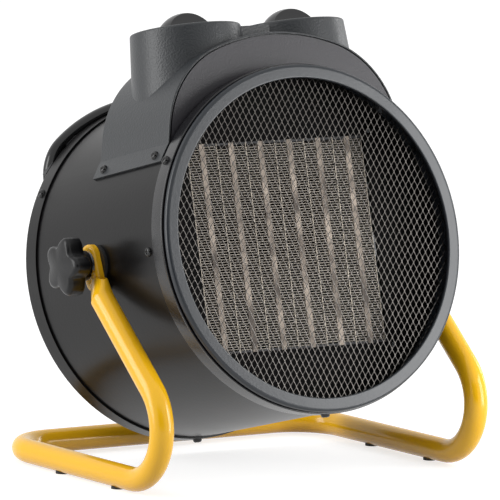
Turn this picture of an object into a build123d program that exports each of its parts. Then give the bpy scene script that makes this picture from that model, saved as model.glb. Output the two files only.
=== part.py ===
from build123d import *
from math import ceil, cos, hypot, radians, sin, tan
import os

# Forced air heater: a round sheet-steel drum that tilts between the legs of a bent tube stand.
# All lengths are in millimetres and all angles in degrees. The origin is on the floor under the middle
# of the object. The mesh faces -Y, +X is on the right of someone who looks at the mesh, and +Z is up.

# ---------------------------------------------------------------- driving dimensions
# Drum
drum_length = 178.8             # bezel face to rear rim
casing_radius = 114.2           # outside of the rolled casing
sheet = 1.2                     # gauge of the drum's sheet steel
seat = 0.1                      # clearance between pressed pieces that nest
rest_tilt = 14.0                # the drum's axis rises this much towards the front

# Bezel, front band and mesh
bezel_radius = 115.0
bezel_window = 105.9            # radius of the opening in front of the mesh
bezel_rim_depth = 3.6           # rolled outer edge, front to back
bezel_edge_radius = 2.0
bezel_skirt_depth = 20.0
front_band_front = 4.8
front_band_length = 13.4
band_lip = 0.6                  # bead on the band's front edge, proud of the band
band_lip_width = 0.9
mesh_depth = 6.0                # bezel face to the front of the mesh
mesh_thickness = 1.2
mesh_turn = -9.0                # the diamonds lean clockwise in the frame
diamond_width = 14.0            # pitch of the diamonds across the strands
diamond_height = 23.8           # pitch along the strands
strand = 1.9                    # width of a strand
spacer_ring_width = 3.6

# Heating core
baffle_depth = 33.8
window_margin = 1.5             # baffle window, clear of the core on each side
element_count = 6
element_pitch = 23.0
bar_width = 4.0
core_height = 136.0             # height of the finned stack
core_depth = 14.0
fin_recess = 0.5                # fins set back from the bars, front and back
divider_gauge = 0.6
fin_gauge = 0.7
fin_folds = 10
cap_height = 8.0
cap_pocket = 3.0                # how far each bar runs into its end cap
cap_overhang = 8.0              # end cap beyond the core, each side
cap_back = 2.0                  # end cap behind the bars
terminal_width = 6.3
terminal_gauge = 0.8
terminal_length = 10.0
cutout_radius = 8.0
cutout_thickness = 9.0

# Fan and motor
shroud_depth = 84.0
shroud_length = 8.0
blade_clearance = 3.0
impeller_radius = 86.0
blade_count = 5
blade_gauge = 1.8
hub_radius = 24.0
hub_length = 18.0
hub_wall = 3.0
root_chord = 22.0
root_pitch = 42.0               # blade angle to the plane of rotation, at the hub
tip_chord = 44.0
tip_pitch = 21.0
shaft_radius = 3.0
shaft_running_gap = 0.05
motor_gap = 6.0                 # hub to the motor's nose
motor_radius = 36.0
motor_length = 40.0
motor_nose_radius = 13.0
motor_nose_length = 5.0
motor_edge = 4.0
bracket_arms = 4
bracket_arm_width = 14.0
bracket_gauge = 1.5
bracket_foot = 12.0

# Rear cover, grille and cord gland
rear_band_length = 13.5
rear_lip_width = 7.5            # flat lip round the recess
recess_depth = 21.0
grille_seat_width = 9.0
grille_gauge = 1.2
grille_hub = 22.0
slot_width = 6.0
slot_rings = 3
slots_in_inner_ring = 14
slot_bridge = 6.0               # solid ring between two rings of slots
gland_height = -70.0            # below the drum's axis
gland_radius = 10.0
gland_length = 24.0
cord_bore_radius = 3.6

# Carry handle
handle_tube_radius = 4.75
handle_arch_radius = 117.0      # centreline, about the drum's axis
handle_arch_angle = 38.0        # each way from the top
handle_bend_radius = 31.0
handle_bend_angle = 58.0
handle_standoff = 1.5           # rear rim to the handle's tube
lug_width = 10.0
lug_angles = (-49.0, -35.5, 35.5, 49.0)
lug_grip = 3.0                  # how far a lug reaches up the tube

# Control housing
housing_front = 20.0
housing_length = 85.0
housing_radius = 139.8
housing_wall = 2.6
side_foot = 91.8                # half width where the sides meet the flanges
side_foot_height = 74.0
side_lean = 11.6
housing_corner = 66.0
flange_inner_angle = 49.0
flange_outer_angle = 59.8
flange_gauge = 1.6
housing_edge = 0.8
fascia_rim = 1.2
fascia_gap = 1.0
fascia_gauge = 2.0
turret_offset = 41.3            # each way from the middle
turret_depth = 63.4             # bezel face to the turrets' axes
turret_radius = 36.9            # at the rim
turret_draft = 4.6
turret_rise = 9.8               # rims above the housing's arch
turret_wall = 2.8
turret_foot_drop = 39.8         # arch to where the turrets' drafted sides end inside the housing
turret_edge = 1.8
cup_depth = 15.0
bridge_width = 40.0
bridge_depth = 44.0
bridge_drop = 2.2
spindle_hole_gap = 0.5
terminal_block_size = (34.0, 16.0, 10.0)

# Knobs on the housing
knob_radius = 21.3
knob_centre_drop = 10.4         # centre of the dome below the turret's rim
knob_floor_gap = 0.6
knob_grip = 9.5                 # thickness of the grip at its crown
knob_scoop_radius = 26.0
knob_scoop_rise = 24.0          # centre of each scoop above the dome's centre
spindle_radius = 3.0
spindle_grip = 12.0             # length of spindle inside the knob
switch_size = 26.0
switch_height = 14.0
switch_corner = 2.0
thermostat_radius = 14.0
thermostat_height = 13.0
bushing_gap = 0.05

# Stand
tube_radius = 8.0
tube_wall = 1.5
leg_spread = 124.5              # centreline of each leg from the middle
leg_angle = 50.0                # legs slope this much from vertical, down and forward
front_bend = 35.0
rear_bend = 33.2
pivot_rise = 132.7              # pivot above the feet's centreline
crossbar_back = 97.2            # pivot to the rear crossbar's centreline
pad_standoff = 0.8
pad_radius = 4.5
pad_height = 3.0
pad_front = -45.0               # pads before and behind the pivot
pad_rear = 24.0
press_start = 30.0              # pivot to where the round tube begins to be pressed oval
press_end = 10.5                # pivot to where the oval has its full width
oval_width = 23.0
oval_gauge = 5.5                # thickness of the pressed end and its tongue
shoulder_drop = 6.5             # top of the oval below the pivot
tongue_radius = 8.3
tongue_top = (-1.0, 5.2)        # centre of the tongue's round end, forward of and above the pivot
tongue_root = (5.0, -9.0)
tongue_edge = 2.4

# Tilt clamps
boss_radius = 13.0
boss_gap = 0.3                  # boss to the flattened tube end
stud_radius = 4.0
stud_gap = 0.1
nut_radius = 9.0
nut_length = 8.0
nut_seat = 0.5                  # flat face of the nut to the casing's bore, at mid height
washer_radius = 10.0
washer_gauge = 1.6
star_hub_radius = 10.0
star_hub_length = 6.5
star_radius = 19.8
star_thickness = 13.6
star_lobes = 5
star_turn = -10.0
star_lobe_radius = 5.4
star_waist_radius = 12.8        # body of the knob between its lobes
star_waist_fillet = 4.0
star_edge = 3.0
stud_cover = 4.0                # closed end of the star knob over the stud

# Screws
screw_head_radius = 3.1
screw_head_height = 2.2
screw_shank_radius = 1.7
screw_length = 6.0
core_screw_length = 20.0
screw_gap = 0.2
band_screw_angles = (-60.0, 60.0, 180.0)
front_screw_back = 4.4          # screw line to the band's rear edge
rear_screw_back = 7.2
flange_screw_angle = 57.0
flange_screw_inset = 10.6       # first pair of flange screws from the housing's front
flange_screw_pitch = 64.0
side_screw_depth = 25.0
baffle_skirt_lap = 4.4          # skirt of the baffle in front of the side screws

# ---------------------------------------------------------------- frames
pivot_depth = drum_length / 2
rear_plane = drum_length + handle_standoff + 2 * handle_tube_radius
pivot_height = pad_standoff + tube_radius + pivot_rise
front_reach = pivot_depth * cos(radians(rest_tilt)) + bezel_radius * sin(radians(rest_tilt))
rear_reach = (
    (rear_plane - pivot_depth) * cos(radians(rest_tilt))
    + (handle_arch_radius + handle_tube_radius) * sin(radians(rest_tilt))
)
PIVOT = Vector(0, (front_reach - rear_reach) / 2, pivot_height)
BACK = Vector(0, cos(radians(rest_tilt)), -sin(radians(rest_tilt)))
UP = Vector(0, sin(radians(rest_tilt)), cos(radians(rest_tilt)))
RIGHT = Vector(1, 0, 0)
FACE = PIVOT - BACK * pivot_depth
DRUM_AXIS = Axis(FACE, BACK)
PIVOT_AXIS = Axis(PIVOT, RIGHT)

# Half section of the drum: local X is the depth behind the bezel's face, local Y the radius.
SECTION = Plane(origin=FACE, x_dir=BACK, z_dir=RIGHT)


def across(depth):
    """Plane square to the drum's axis, facing forward, with X to the right and Y up."""
    return Plane(origin=FACE + BACK * depth, x_dir=RIGHT, z_dir=BACK * -1)


def over(height):
    """Plane above the drum's axis, facing up, with X to the right and Y as the depth."""
    return Plane(origin=FACE + UP * height, x_dir=RIGHT, z_dir=UP)


def beside(x):
    """Plane parallel to the drum's middle, with X as the depth and Y as the height."""
    return Plane(origin=FACE + RIGHT * x, x_dir=BACK, z_dir=RIGHT)


def radial(angle, depth, radius):
    """Plane facing outward at this angle from the top, with X along the drum's axis."""
    outward = RIGHT * sin(radians(angle)) + UP * cos(radians(angle))
    return Plane(origin=FACE + BACK * depth + outward * radius, x_dir=BACK, z_dir=outward)


def behind(x, height, depth):
    """Plane at this point that faces backward, for what is fitted from behind."""
    return Plane(origin=FACE + RIGHT * x + UP * height + BACK * depth, x_dir=RIGHT * -1, z_dir=BACK)


def upright(x, y):
    """Plane through a vertical line of the drum at this place, with Y as the height."""
    return Plane(origin=FACE + RIGHT * x + BACK * y, x_dir=RIGHT, z_dir=BACK * -1)


# ---------------------------------------------------------------- derived sizes
casing_bore = casing_radius - sheet
nest_radius = casing_bore - seat
band_inner = casing_radius + seat
band_outer = band_inner + sheet
casing_front = front_band_front + 1.4
casing_rear = drum_length - sheet - seat
front_band_rear = front_band_front + front_band_length
rear_band_front = drum_length - rear_band_length
front_screw_depth = front_band_rear - front_screw_back
rear_screw_depth = drum_length - rear_screw_back
mesh_radius = nest_radius - sheet - seat
baffle_back = baffle_depth + sheet
core_front = baffle_back + seat
core_half = core_height / 2
core_width = element_count * element_pitch
cap_width = core_width + 2 * cap_overhang
cap_screw_place = (cap_width / 2 - cap_overhang / 2, core_half + cap_height / 2)
cap_screw_depth = core_front + core_depth + cap_back
shroud_bore = impeller_radius + blade_clearance
hub_front = shroud_depth - 2
hub_back = hub_front + hub_length
motor_front = hub_back + motor_gap
motor_back = motor_front + motor_nose_length + motor_length
recess_radius = band_outer - rear_lip_width
guard_depth = drum_length - recess_depth
handle_depth = drum_length + handle_standoff + handle_tube_radius
housing_rear = housing_front + housing_length
fascia_inset = fascia_rim + fascia_gap
flange_top = band_inner + flange_gauge
turret_top = housing_radius + turret_rise
turret_foot = housing_radius - turret_foot_drop
floor_height = turret_top - cup_depth
floor_under = floor_height - housing_wall
knob_centre = turret_top - knob_centre_drop
flange_screw_depths = (
    housing_front + flange_screw_inset,
    housing_front + flange_screw_inset + flange_screw_pitch,
)
foot_height = pad_standoff + tube_radius
tongue_inner = leg_spread - tube_radius + 0.2
tongue_outer = tongue_inner + oval_gauge
washer_inner = tongue_outer + boss_gap
star_inner = washer_inner + washer_gauge + seat
star_face = star_inner + star_hub_length
star_outer = star_face + star_thickness
screw_hole_radius = screw_shank_radius + screw_gap


# ---------------------------------------------------------------- shared shapes
def screw_row(places, length=screw_length):
    """Pan-head screws, one on each plane: the head stands on the plane and the shank runs below it."""
    with BuildPart() as row:
        for place in places:
            with BuildSketch(place):
                Circle(screw_head_radius)
            extrude(amount=screw_head_height)
            with BuildSketch(place):
                Circle(screw_shank_radius)
            extrude(amount=-length)
    return row


def saddle_profile(inset):
    """Front view of the housing: a wide arch with leaning sides and large upper corners."""
    reach = housing_radius - inset
    lean = tan(radians(side_lean))
    foot = side_foot - inset / cos(radians(side_lean))
    bottom = side_foot_height - 16
    top = housing_radius + 10
    with BuildSketch() as profile:
        Circle(reach)
        Polygon(
            (-foot - lean * (side_foot_height - bottom), bottom),
            (foot + lean * (side_foot_height - bottom), bottom),
            (foot - lean * (top - side_foot_height), top),
            (-foot + lean * (top - side_foot_height), top),
            align=None,
            mode=Mode.INTERSECT,
        )
        fillet(profile.vertices().group_by(Axis.Y)[-1], housing_corner - inset)
        Circle(band_inner, mode=Mode.SUBTRACT)
    return profile.sketch.faces().sort_by(SortBy.AREA)[-1]


def flange_profile():
    """Front view of the two flanges that lie on the drum beside the housing."""
    reach = band_inner + flange_gauge
    with BuildSketch() as profile:
        Circle(reach)
        Circle(band_inner, mode=Mode.SUBTRACT)
        with BuildSketch(mode=Mode.INTERSECT):
            for side in (-1, 1):
                start = radians(flange_inner_angle)
                stop = radians(flange_outer_angle)
                far = 2 * reach
                Polygon(
                    (0, 0),
                    (side * far * sin(start), far * cos(start)),
                    (side * far * sin(stop), far * cos(stop)),
                    align=None,
                )
    return profile.sketch


def domed_knob(side):
    """Round knob with a half-moon grip, left between two concave scoops."""
    skirt_bottom = floor_height + knob_floor_gap
    with BuildPart() as knob:
        with BuildSketch(upright(side * turret_offset, turret_depth)):
            with Locations((0, knob_centre)):
                Circle(knob_radius)
            with Locations((0, (skirt_bottom + knob_centre) / 2)):
                Rectangle(2 * knob_radius, knob_centre - skirt_bottom)
            with Locations((0, skirt_bottom - knob_radius)):
                Rectangle(4 * knob_radius, 2 * knob_radius, mode=Mode.SUBTRACT)
            with Locations((-knob_radius, knob_centre)):
                Rectangle(2 * knob_radius, 4 * knob_radius, mode=Mode.SUBTRACT)
        revolve(axis=Axis(upright(side * turret_offset, turret_depth).origin, UP))
        with BuildSketch(beside(side * turret_offset)):
            for way in (-1, 1):
                with Locations(
                    (
                        turret_depth + way * (knob_grip / 2 + knob_scoop_radius),
                        knob_centre + knob_scoop_rise,
                    )
                ):
                    Circle(knob_scoop_radius)
        extrude(amount=knob_radius, both=True, mode=Mode.SUBTRACT)
        with BuildSketch(over(skirt_bottom)):
            with Locations((side * turret_offset, turret_depth)):
                Circle(spindle_radius + seat)
        extrude(amount=spindle_grip, mode=Mode.SUBTRACT)
    return knob


def spindle(side, bottom):
    """Round spindle from the control below the floor up into its knob."""
    top = floor_height + knob_floor_gap + spindle_grip - seat
    with BuildPart() as rod:
        with BuildSketch(over(bottom)):
            with Locations((side * turret_offset, turret_depth)):
                Circle(spindle_radius)
        extrude(amount=top - bottom)
    return rod


# ---------------------------------------------------------------- drum casing
with BuildPart() as drum_casing:
    with BuildSketch(SECTION):
        with Locations(((casing_front + casing_rear) / 2, casing_radius - sheet / 2)):
            Rectangle(casing_rear - casing_front, sheet)
    revolve(axis=DRUM_AXIS)
    for screw_angle in band_screw_angles:
        for screw_depth in (front_screw_depth, rear_screw_depth):
            with BuildSketch(radial(screw_angle, screw_depth, casing_bore - 2)):
                Circle(screw_hole_radius)
            extrude(amount=sheet + 4, mode=Mode.SUBTRACT)
    for side in (-1, 1):
        with BuildSketch(radial(side * 90, side_screw_depth, casing_bore - 2)):
            Circle(screw_hole_radius)
        extrude(amount=sheet + 4, mode=Mode.SUBTRACT)
        with BuildSketch(radial(side * 90, pivot_depth, casing_bore - 2)):
            Circle(stud_radius + 2 * boss_gap)
        extrude(amount=sheet + 4, mode=Mode.SUBTRACT)
        for screw_depth in flange_screw_depths:
            with BuildSketch(radial(side * flange_screw_angle, screw_depth, casing_bore - 2)):
                Circle(screw_hole_radius)
            extrude(amount=sheet + 4, mode=Mode.SUBTRACT)
drum_casing.part.label = "drum_casing"

# ---------------------------------------------------------------- bezel, band and mesh
with BuildPart() as front_bezel:
    with BuildSketch(SECTION):
        with BuildLine():
            Polyline(
                (0, bezel_window),
                (0, bezel_radius),
                (bezel_rim_depth, bezel_radius),
                (bezel_rim_depth, bezel_radius - sheet),
                (sheet, bezel_radius - sheet),
                (sheet, nest_radius),
                (bezel_skirt_depth, nest_radius),
                (bezel_skirt_depth, nest_radius - sheet),
                (sheet, nest_radius - sheet),
                (sheet, bezel_window + sheet),
                (2 * sheet, bezel_window + sheet),
                (2 * sheet, bezel_window),
                close=True,
            )
        make_face()
        outer_corner = vertices().sort_by_distance((0, bezel_radius, 0))[0]
        fillet(outer_corner, bezel_edge_radius)
    revolve(axis=DRUM_AXIS)
    for screw_angle in band_screw_angles:
        with BuildSketch(radial(screw_angle, front_screw_depth, nest_radius - 3)):
            Circle(screw_hole_radius)
        extrude(amount=4, mode=Mode.SUBTRACT)
front_bezel.part.label = "front_bezel"

with BuildPart() as front_band:
    with BuildSketch(SECTION):
        with BuildLine():
            Polyline(
                (front_band_front, band_inner),
                (front_band_front, band_outer + band_lip),
                (front_band_front + band_lip_width, band_outer + band_lip),
                (front_band_front + 2 * band_lip_width, band_outer),
                (front_band_rear, band_outer),
                (front_band_rear, band_inner),
                close=True,
            )
        make_face()
    revolve(axis=DRUM_AXIS)
    for screw_angle in band_screw_angles:
        with BuildSketch(radial(screw_angle, front_screw_depth, casing_bore)):
            Circle(screw_hole_radius)
        extrude(amount=5, mode=Mode.SUBTRACT)
front_band.part.label = "front_band"

front_band_screws = screw_row([radial(a, front_screw_depth, band_outer) for a in band_screw_angles])
front_band_screws.part.label = "front_band_screws"

with BuildPart() as mesh_spacer:
    with BuildSketch(SECTION):
        spacer_length = mesh_depth - sheet - 2 * seat
        with Locations((sheet + seat + spacer_length / 2, mesh_radius - spacer_ring_width / 2)):
            Rectangle(spacer_length, spacer_ring_width)
    revolve(axis=DRUM_AXIS)
mesh_spacer.part.label = "mesh_spacer"


def diamond_places():
    """Centres of the whole diamonds that fit inside the mesh's plain edge."""
    reach = mesh_radius - strand - diamond_height / 2
    columns = ceil(2 * mesh_radius / diamond_width)
    rows = ceil(2 * mesh_radius / diamond_height)
    places = []
    for row in range(-rows, rows + 1):
        for column in range(-columns, columns + 1):
            for shift in (0, 0.5):
                x = (column + shift) * diamond_width
                z = (row + shift) * diamond_height
                if hypot(x, z) < reach:
                    turned = Vector(x, z).rotate(Axis.Z, mesh_turn)
                    places.append((turned.X, turned.Y))
    return places


with BuildPart() as front_mesh:
    with BuildSketch(across(mesh_depth + mesh_thickness)):
        Circle(mesh_radius)
        gap_width = diamond_width - strand * hypot(diamond_width, diamond_height) / diamond_height
        gap_height = diamond_height - strand * hypot(diamond_width, diamond_height) / diamond_width
        with BuildSketch(mode=Mode.SUBTRACT) as gaps:
            with Locations(*diamond_places()):
                Polygon(
                    (-gap_width / 2, 0),
                    (0, -gap_height / 2),
                    (gap_width / 2, 0),
                    (0, gap_height / 2),
                    align=None,
                    rotation=mesh_turn,
                )
    extrude(amount=mesh_thickness)
front_mesh.part.label = "front_mesh"

# ---------------------------------------------------------------- heating core
skirt_front = side_screw_depth - baffle_skirt_lap
with BuildPart() as core_baffle:
    with BuildSketch(SECTION):
        with BuildLine():
            Polyline(
                (baffle_back, 0),
                (baffle_back, nest_radius),
                (skirt_front, nest_radius),
                (skirt_front, nest_radius - sheet),
                (baffle_depth, nest_radius - sheet),
                (baffle_depth, 0),
                close=True,
            )
        make_face()
    revolve(axis=DRUM_AXIS)
    with BuildSketch(across(baffle_back)):
        Rectangle(core_width + 2 * window_margin, core_height + 2 * window_margin)
    extrude(amount=2 * sheet, both=True, mode=Mode.SUBTRACT)
    with BuildSketch(across(baffle_back)):
        with GridLocations(2 * cap_screw_place[0], 2 * cap_screw_place[1], 2, 2):
            Circle(screw_hole_radius)
    extrude(amount=2 * sheet, both=True, mode=Mode.SUBTRACT)
    for side in (-1, 1):
        with BuildSketch(radial(side * 90, side_screw_depth, nest_radius - 3)):
            Circle(screw_hole_radius)
        extrude(amount=4, mode=Mode.SUBTRACT)
        with BuildSketch(radial(side * flange_screw_angle, flange_screw_depths[0], nest_radius - 3)):
            Circle(screw_hole_radius)
        extrude(amount=4, mode=Mode.SUBTRACT)
core_baffle.part.label = "core_baffle"

baffle_screws = screw_row([radial(side * 90, side_screw_depth, casing_radius) for side in (-1, 1)])
baffle_screws.part.label = "baffle_screws"

element_places = [(k - (element_count - 1) / 2) * element_pitch for k in range(element_count)]
bar_length = core_height + 2 * cap_pocket

with BuildPart() as ptc_bars:
    with BuildSketch(across(core_front)):
        with Locations(*[(x, 0) for x in element_places]):
            Rectangle(bar_width, bar_length)
    extrude(amount=-core_depth)
    with BuildSketch(over(core_half + cap_pocket)):
        with Locations(*[(x, core_front + core_depth / 2) for x in element_places]):
            Rectangle(terminal_gauge, terminal_width)
    extrude(amount=cap_height - cap_pocket + terminal_length)
ptc_bars.part.label = "ptc_bars"

# Each element has a folded fin strip on both sides of its bar, up to the dividers between elements.
fin_width = (element_pitch - bar_width - divider_gauge) / 2 - 2 * seat
fold_pitch = (core_height - fin_gauge) / fin_folds
with BuildPart() as ptc_fins:
    with BuildSketch(across(core_front + fin_recess)):
        for x in element_places:
            for side in (-1, 1):
                middle = x + side * (bar_width / 2 + seat + fin_width / 2)
                with Locations((middle, 0)):
                    with GridLocations(0, fold_pitch, 1, fin_folds + 1):
                        Rectangle(fin_width, fin_gauge)
                for fold in range(fin_folds):
                    edge = (fin_width - fin_gauge) / 2 * (1 if fold % 2 else -1)
                    height = (fold + 0.5) * fold_pitch - (core_height - fin_gauge) / 2
                    with Locations((middle + edge, height)):
                        Rectangle(fin_gauge, fold_pitch)
    extrude(amount=-(core_depth - 2 * fin_recess))
ptc_fins.part.label = "ptc_fins"

with BuildPart() as ptc_dividers:
    with BuildSketch(across(core_front)):
        with GridLocations(element_pitch, 0, element_count + 1, 1):
            Rectangle(divider_gauge, bar_length)
    extrude(amount=-core_depth)
ptc_dividers.part.label = "ptc_dividers"

with BuildPart() as ptc_end_caps:
    with BuildSketch(across(core_front)):
        for way in (-1, 1):
            with Locations((0, way * (core_half + cap_height / 2))):
                Rectangle(cap_width, cap_height)
    extrude(amount=-(core_depth + cap_back))
    with BuildSketch(across(core_front)):
        with Locations(*[(x, 0) for x in element_places]):
            Rectangle(bar_width + 2 * seat, bar_length + 2 * seat)
        with GridLocations(element_pitch, 0, element_count + 1, 1):
            Rectangle(divider_gauge + 2 * seat, bar_length + 2 * seat)
    extrude(amount=-(core_depth + seat), mode=Mode.SUBTRACT)
    with BuildSketch(over(core_half)):
        with Locations(*[(x, core_front + core_depth / 2) for x in element_places]):
            Rectangle(terminal_gauge + 2 * seat, terminal_width + 2 * seat)
    extrude(amount=cap_height, mode=Mode.SUBTRACT)
    with BuildSketch(across(core_front)):
        with GridLocations(2 * cap_screw_place[0], 2 * cap_screw_place[1], 2, 2):
            Circle(screw_hole_radius)
    extrude(amount=-(core_depth + cap_back), mode=Mode.SUBTRACT)
ptc_end_caps.part.label = "ptc_end_caps"

core_screw_places = [(x * cap_screw_place[0], z * cap_screw_place[1]) for x in (-1, 1) for z in (-1, 1)]
core_screws = screw_row([behind(x, z, cap_screw_depth) for x, z in core_screw_places], core_screw_length)
core_screws.part.label = "core_screws"

cutout_height = core_half + cap_height + terminal_length + cutout_radius
with BuildPart() as thermal_cutout:
    with BuildSketch(across(baffle_back + seat)):
        with Locations((0, cutout_height)):
            Circle(cutout_radius)
    extrude(amount=-cutout_thickness)
    with BuildSketch(across(baffle_back + seat + cutout_thickness)):
        with Locations((-cutout_radius / 2, cutout_height), (cutout_radius / 2, cutout_height)):
            Rectangle(terminal_gauge, terminal_width)
    extrude(amount=-terminal_length)
thermal_cutout.part.label = "thermal_cutout"

# ---------------------------------------------------------------- fan and motor
with BuildPart() as fan_shroud:
    with BuildSketch(SECTION):
        with BuildLine():
            Polyline(
                (shroud_depth, nest_radius),
                (shroud_depth, shroud_bore),
                (shroud_depth + shroud_length, shroud_bore),
                (shroud_depth + shroud_length, shroud_bore + sheet),
                (shroud_depth + sheet, shroud_bore + sheet),
                (shroud_depth + sheet, nest_radius - sheet),
                (shroud_depth + shroud_length, nest_radius - sheet),
                (shroud_depth + shroud_length, nest_radius),
                close=True,
            )
        make_face()
    revolve(axis=DRUM_AXIS)
    for side in (-1, 1):
        with BuildSketch(radial(side * 90, pivot_depth, shroud_bore + sheet + seat)):
            Rectangle(2 * shroud_length, 2 * (nut_radius + 1))
        extrude(amount=casing_bore, mode=Mode.SUBTRACT)
fan_shroud.part.label = "fan_shroud"

blade_middle = (hub_front + hub_back) / 2
with BuildPart() as fan_impeller:
    with BuildSketch(SECTION):
        with BuildLine():
            Polyline(
                (hub_front, 0),
                (hub_front, hub_radius),
                (hub_back, hub_radius),
                (hub_back, hub_radius - hub_wall),
                (hub_front + hub_wall, hub_radius - hub_wall),
                (hub_front + hub_wall, shaft_radius + hub_wall),
                (hub_back, shaft_radius + hub_wall),
                (hub_back, shaft_radius + seat / 2),
                (hub_front + hub_wall, shaft_radius + seat / 2),
                (hub_front + hub_wall, 0),
                close=True,
            )
        make_face()
        nose = vertices().sort_by_distance((hub_front, hub_radius, 0))[0]
        fillet(nose, hub_wall)
    revolve(axis=DRUM_AXIS)
    for k in range(blade_count):
        turn = k * 360 / blade_count
        with BuildSketch(radial(turn, blade_middle, hub_radius - hub_wall / 2)):
            Rectangle(root_chord, blade_gauge, rotation=90 - root_pitch)
        with BuildSketch(radial(turn, blade_middle, (hub_radius + impeller_radius) / 2)):
            Rectangle((root_chord + tip_chord) / 2, blade_gauge, rotation=90 - (root_pitch + tip_pitch) / 2)
        with BuildSketch(radial(turn, blade_middle, impeller_radius)):
            Rectangle(tip_chord, blade_gauge, rotation=90 - tip_pitch)
        loft(ruled=True)
    with BuildSketch(SECTION):
        with Locations((blade_middle, impeller_radius + tip_chord / 2)):
            Rectangle(2 * tip_chord, tip_chord)
    revolve(axis=DRUM_AXIS, mode=Mode.SUBTRACT)
fan_impeller.part.label = "fan_impeller"

with BuildPart() as motor_shaft:
    with BuildSketch(across(hub_front + hub_wall + seat)):
        Circle(shaft_radius)
    extrude(amount=-(motor_back - motor_length / 2 - hub_front))
motor_shaft.part.label = "motor_shaft"

with BuildPart() as fan_motor:
    with BuildSketch(SECTION):
        with BuildLine():
            Polyline(
                (motor_front, 0),
                (motor_front, motor_nose_radius),
                (motor_front + motor_nose_length, motor_nose_radius),
                (motor_front + motor_nose_length, motor_radius),
                (motor_back, motor_radius),
                (motor_back, 0),
                close=True,
            )
        make_face()
        chamfer(vertices().group_by(Axis(FACE, UP))[-1], motor_edge)
    revolve(axis=DRUM_AXIS)
    with BuildSketch(across(motor_front)):
        Circle(shaft_radius + shaft_running_gap)
    extrude(amount=-(motor_nose_length + motor_length - motor_edge), mode=Mode.SUBTRACT)
fan_motor.part.label = "fan_motor"

bracket_depth = (motor_front + motor_nose_length + motor_back) / 2
with BuildPart() as motor_bracket:
    with BuildSketch(across(bracket_depth)):
        Circle(nest_radius)
        with BuildSketch(mode=Mode.INTERSECT):
            Circle(motor_radius + bracket_arm_width / 2)
            with PolarLocations(nest_radius / 2, bracket_arms, start_angle=180 / bracket_arms):
                Rectangle(nest_radius + bracket_arm_width, bracket_arm_width)
        Circle(motor_radius + seat, mode=Mode.SUBTRACT)
    extrude(amount=-bracket_gauge)
    with BuildSketch(across(bracket_depth)):
        Circle(nest_radius)
        Circle(nest_radius - bracket_gauge, mode=Mode.SUBTRACT)
        with BuildSketch(mode=Mode.INTERSECT):
            with PolarLocations(nest_radius / 2, bracket_arms, start_angle=180 / bracket_arms):
                Rectangle(nest_radius + bracket_arm_width, bracket_arm_width)
    extrude(amount=-bracket_foot)
motor_bracket.part.label = "motor_bracket"

# ---------------------------------------------------------------- rear cover, grille and gland
with BuildPart() as rear_cover:
    with BuildSketch(SECTION):
        with BuildLine():
            Polyline(
                (rear_band_front, band_inner),
                (rear_band_front, band_outer),
                (drum_length, band_outer),
                (drum_length, recess_radius - sheet),
                (guard_depth + sheet, recess_radius - sheet),
                (guard_depth + sheet, recess_radius - grille_seat_width),
                (guard_depth, recess_radius - grille_seat_width),
                (guard_depth, recess_radius),
                (drum_length - sheet, recess_radius),
                (drum_length - sheet, band_inner),
                close=True,
            )
        make_face()
        rim = vertices().sort_by_distance((drum_length, band_outer, 0))[0]
        fillet(rim, sheet)
    revolve(axis=DRUM_AXIS)
    for screw_angle in band_screw_angles:
        with BuildSketch(radial(screw_angle, rear_screw_depth, casing_bore)):
            Circle(screw_hole_radius)
        extrude(amount=5, mode=Mode.SUBTRACT)
    with BuildSketch(across(guard_depth - sheet)):
        with PolarLocations(recess_radius - grille_seat_width / 2, 4, start_angle=45):
            Circle(screw_hole_radius)
    extrude(amount=-4 * sheet, mode=Mode.SUBTRACT)
rear_cover.part.label = "rear_cover"

rear_band_screws = screw_row([radial(a, rear_screw_depth, band_outer) for a in band_screw_angles])
rear_band_screws.part.label = "rear_band_screws"

grille_front = guard_depth + sheet + seat
grille_radius = recess_radius - sheet - seat
grille_screw_radius = recess_radius - grille_seat_width / 2
slot_outer = recess_radius - grille_seat_width - slot_bridge / 2
slot_length = (slot_outer - grille_hub - (slot_rings - 1) * slot_bridge) / slot_rings
with BuildPart() as rear_grille:
    with BuildSketch(across(grille_front + grille_gauge)):
        Circle(grille_radius)
        for ring in range(slot_rings):
            middle = grille_hub + slot_length / 2 + ring * (slot_length + slot_bridge)
            inner = grille_hub + slot_length / 2
            count = round(slots_in_inner_ring * middle / inner / 2) * 2
            with PolarLocations(middle, count):
                Rectangle(slot_length, slot_width, mode=Mode.SUBTRACT)
        with Locations((0, gland_height)):
            Circle(gland_radius + 2)
            Circle(cord_bore_radius + 2.5, mode=Mode.SUBTRACT)
        with PolarLocations(grille_screw_radius, 4, start_angle=45):
            Circle(screw_hole_radius, mode=Mode.SUBTRACT)
    extrude(amount=grille_gauge)
rear_grille.part.label = "rear_grille"

grille_screws = screw_row(
    [
        behind(
            grille_screw_radius * cos(radians(angle)),
            grille_screw_radius * sin(radians(angle)),
            grille_front + grille_gauge,
        )
        for angle in (45, 135, 225, 315)
    ]
)
grille_screws.part.label = "grille_screws"

gland_neck = cord_bore_radius + 2.5 - seat
with BuildPart() as cord_gland:
    with BuildSketch(behind(0, gland_height, grille_front + grille_gauge)):
        RegularPolygon(gland_radius, 6)
    extrude(amount=gland_length / 2)
    with BuildSketch(behind(0, gland_height, grille_front + grille_gauge)):
        Circle(gland_neck)
    extrude(amount=-(gland_length / 2))
    with BuildSketch(behind(0, gland_height, grille_front)):
        RegularPolygon(gland_radius, 6)
    extrude(amount=-gland_length / 4)
    with BuildSketch(behind(0, gland_height, grille_front - gland_length)):
        Circle(cord_bore_radius)
    extrude(amount=2 * gland_length, mode=Mode.SUBTRACT)
cord_gland.part.label = "cord_gland"

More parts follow.
